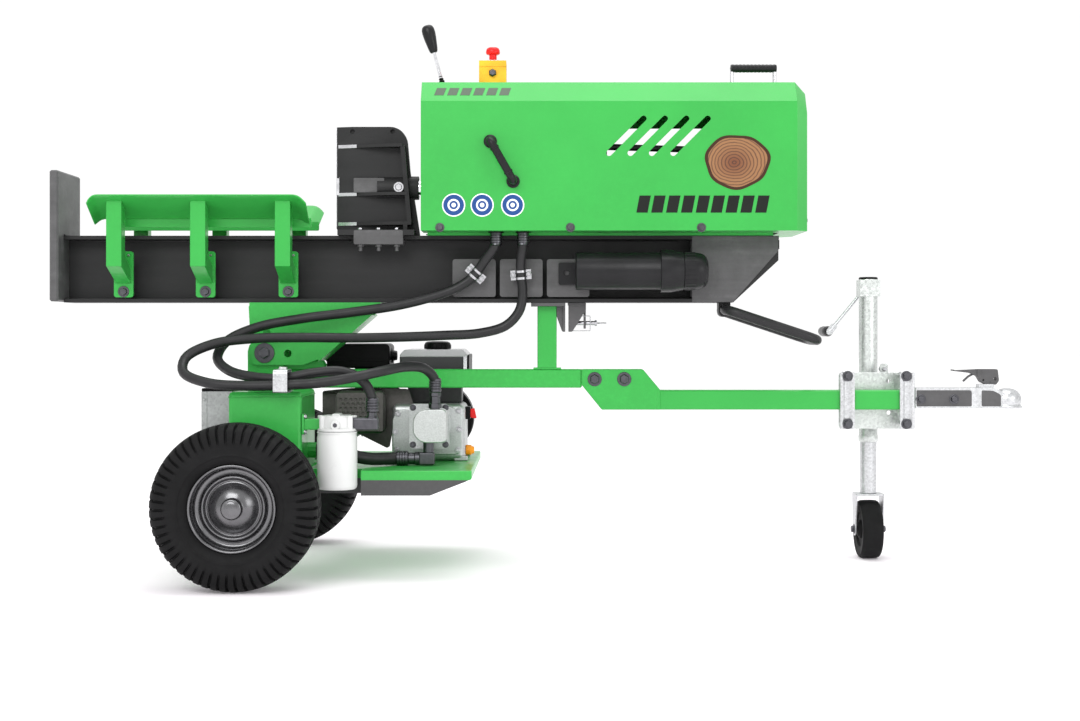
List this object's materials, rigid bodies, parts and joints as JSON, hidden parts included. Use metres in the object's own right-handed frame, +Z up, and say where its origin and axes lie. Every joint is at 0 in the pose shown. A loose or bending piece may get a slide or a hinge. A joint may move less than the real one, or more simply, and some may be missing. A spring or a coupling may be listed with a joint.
{
  "type": "log splitter",
  "caption": "Towable hydraulic log splitter with a tilting beam, sliding wedge, engine and pump on a wheeled chassis, jack and ball coupler.",
  "frame": {"origin": "middle of the machine's length and width, on the ground", "axes": "+X along the tongue towards the coupler, +Y across to the far side from the operator, +Z up"},
  "size_m": [2.449, 0.996, 1.3633],
  "materials": {
    "green": "bright green powder coat",
    "dark": "dark grey satin paint",
    "plate": "mid grey satin paint",
    "black_plastic": "black moulded plastic",
    "tyre": "black tyre rubber",
    "hose": "black braided hose cover",
    "rim": "polished grey metal",
    "zinc": "zinc plated steel",
    "cast_aluminium": "cast aluminium",
    "rod": "hard chrome",
    "filter_white": "white enamel",
    "yellow": "yellow moulded plastic",
    "red": "red moulded plastic",
    "muffler": "heat darkened steel"
  },
  "bodies": {
    "chassis": {"axle": "green", "pivot_upright": "green", "chassis_tube": "green", "support_post": "green", "tongue": "green", "engine_tray": "green", "hydraulic_tank": "green", "tank_hose_clamp": "zinc", "battery_box": "zinc", "filter_head": "cast_aluminium", "filter_canister": "filter_white", "engine_block": "cast_aluminium", "blower_shroud": "black_plastic", "fuel_tank": "dark", "air_cleaner": "black_plastic", "muffler": "muffler", "pump_mount": "dark", "hydraulic_pump": "cast_aluminium", "jack_mount": "zinc", "coupler_body": "dark", "pressure_hose": "hose", "return_hose": "hose", "suction_hose": "hose"},
    "left_wheel": {"left_tyre": "tyre", "left_rim": "rim"},
    "right_wheel": {"right_tyre": "tyre", "right_rim": "rim"},
    "beam": {"splitting_beam": "dark", "foot_plate": "dark", "pivot_bracket": "green", "pivot_bolt": "zinc", "latch_bracket": "dark", "tilt_handle": "black_plastic", "left_log_tray": "green", "right_log_tray": "green", "hydraulic_cylinder": "dark", "control_valve": "cast_aluminium", "machine_cover": "green", "side_handle": "black_plastic", "top_handle": "black_plastic", "stop_switch_box": "yellow", "manual_canister": "black_plastic"},
    "ram": {"wedge_head": "dark", "piston_rod": "rod"},
    "valve_lever": {"control_lever": "black_plastic"},
    "stop_push": {"stop_button": "red"},
    "canister_screw_lid": {"canister_lid": "black_plastic"},
    "beam_latch_pin": {"latch_pin": "zinc"},
    "jack": {"jack_tube": "zinc"},
    "jack_lock": {"jack_pull_pin": "zinc"},
    "jack_leg": {"jack_leg_tube": "zinc"},
    "jack_caster": {"jack_fork": "zinc"},
    "jack_roller": {"jack_wheel": "black_plastic"},
    "jack_handle": {"jack_crank": "zinc"},
    "hitch_lever": {"coupler_latch": "plate"},
    "fuel_lid": {"fuel_cap": "black_plastic"},
    "oil_lid": {"tank_filler_cap": "black_plastic"},
    "dipstick": {"oil_filler_cap": "yellow"},
    "starter": {"starter_handle": "black_plastic"},
    "throttle": {"throttle_lever": "zinc"}
  },
  "joints": [
    {"name": "left_wheel_spin", "type": "hinge", "parent": "chassis", "child": "left_wheel", "pos_m": [-0.7005, -0.423, 0.192], "axis": [0, 1, 0], "continuous": true},
    {"name": "right_wheel_spin", "type": "hinge", "parent": "chassis", "child": "right_wheel", "pos_m": [-0.7005, 0.423, 0.192], "axis": [0, 1, 0], "continuous": true},
    {"name": "beam_tilt", "type": "hinge", "parent": "chassis", "child": "beam", "pos_m": [-0.6935, 0, 0.539], "axis": [0, -1, 0], "range_deg": [0, 90], "deforming": ["pressure_hose", "return_hose"]},
    {"name": "wedge_travel", "type": "slide", "parent": "beam", "child": "ram", "axis": [-1, 0, 0], "range_m": [0, 0.61]},
    {"name": "control_lever_rock", "type": "hinge", "parent": "beam", "child": "valve_lever", "pos_m": [-0.2415, -0.05, 1.19], "axis": [0, 1, 0], "range_deg": [-12, 12]},
    {"name": "stop_button_push", "type": "slide", "parent": "beam", "child": "stop_push", "axis": [0, 0, -1], "range_m": [0, 0.004], "stiffness_N_per_m": 800, "springref_m": -0.002},
    {"name": "canister_lid_turn", "type": "hinge", "parent": "beam", "child": "canister_screw_lid", "pos_m": [0.3535, -0.1, 0.743], "axis": [1, 0, 0], "continuous": true},
    {"name": "latch_pin_slide", "type": "slide", "parent": "beam", "child": "beam_latch_pin", "axis": [-1, 0, 0], "range_m": [0, 0.022]},
    {"name": "jack_swing", "type": "hinge", "parent": "chassis", "child": "jack", "pos_m": [0.8505, 0.11, 0.419], "axis": [0, 1, 0], "range_deg": [0, 90]},
    {"name": "jack_pin_pull", "type": "slide", "parent": "jack", "child": "jack_lock", "axis": [0, 1, 0], "range_m": [0, 0.01], "stiffness_N_per_m": 400, "springref_m": -0.004},
    {"name": "crank_turn", "type": "hinge", "parent": "jack", "child": "jack_handle", "pos_m": [0.8565, 0.11, 0.7055], "axis": [0, 1, 0], "range_deg": [-3600, 4680]},
    {"name": "jack_extend", "type": "slide", "parent": "jack", "child": "jack_leg", "axis": [0, 0, 1], "range_m": [-0.101, 0.131]},
    {"name": "caster_swivel", "type": "hinge", "parent": "jack_leg", "child": "jack_caster", "pos_m": [0.8565, 0.11, 0.17], "axis": [0, 0, 1], "continuous": true},
    {"name": "jack_wheel_spin", "type": "hinge", "parent": "jack_caster", "child": "jack_roller", "pos_m": [0.8565, 0.11, 0.076], "axis": [1, 0, 0], "continuous": true},
    {"name": "coupler_latch_lift", "type": "hinge", "parent": "chassis", "child": "hitch_lever", "pos_m": [1.1525, 0, 0.466], "axis": [0, 1, 0], "range_deg": [0, 70]},
    {"name": "fuel_cap_turn", "type": "hinge", "parent": "chassis", "child": "fuel_lid", "pos_m": [-0.271, 0.12, 0.5468], "axis": [0, 0, 1], "continuous": true},
    {"name": "tank_cap_turn", "type": "hinge", "parent": "chassis", "child": "oil_lid", "pos_m": [-0.6555, -0.2, 0.451], "axis": [0, 0, 1], "continuous": true},
    {"name": "oil_cap_turn", "type": "hinge", "parent": "chassis", "child": "dipstick", "pos_m": [-0.1932, 0.03, 0.2885], "axis": [1, 0, 0], "continuous": true},
    {"name": "starter_pull", "type": "slide", "parent": "chassis", "child": "starter", "axis": [0, 1, 0], "range_m": [0, 0.035], "stiffness_N_per_m": 80, "springref_m": -0.02},
    {"name": "throttle_swing", "type": "hinge", "parent": "chassis", "child": "throttle", "pos_m": [-0.4155, 0.172, 0.395], "axis": [0, 1, 0], "range_deg": [-25, 25]}
  ],
  "couplings": [
    {"joint": "jack_extend", "follows": "crank_turn", "m_per_rad": 0.0015915}
  ]
}
